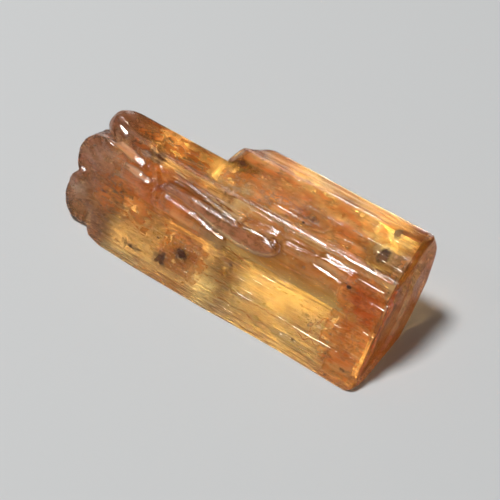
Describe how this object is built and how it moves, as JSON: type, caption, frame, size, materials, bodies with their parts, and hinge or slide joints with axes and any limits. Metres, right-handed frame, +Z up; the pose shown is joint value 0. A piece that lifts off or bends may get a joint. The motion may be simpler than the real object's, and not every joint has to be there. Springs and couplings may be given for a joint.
{
  "type": "topaz crystal",
  "caption": "Rough translucent orange topaz prism with striated sides, a flat cleaved end, an etched knobbly end and a shorter prism grown along its back.",
  "frame": {"origin": "on the table, under the middle of the stone's bounding box", "axes": "+X along the crystal's length, towards the cleaved end; -Y towards the broad front face; +Z up"},
  "size_m": [0.03, 0.0111, 0.0086],
  "materials": {
    "topaz": "translucent orange crystal, glassy striated faces, etched and frosted in places"
  },
  "bodies": {
    "root": {"topaz_crystal": "topaz"}
  },
  "joints": []
}
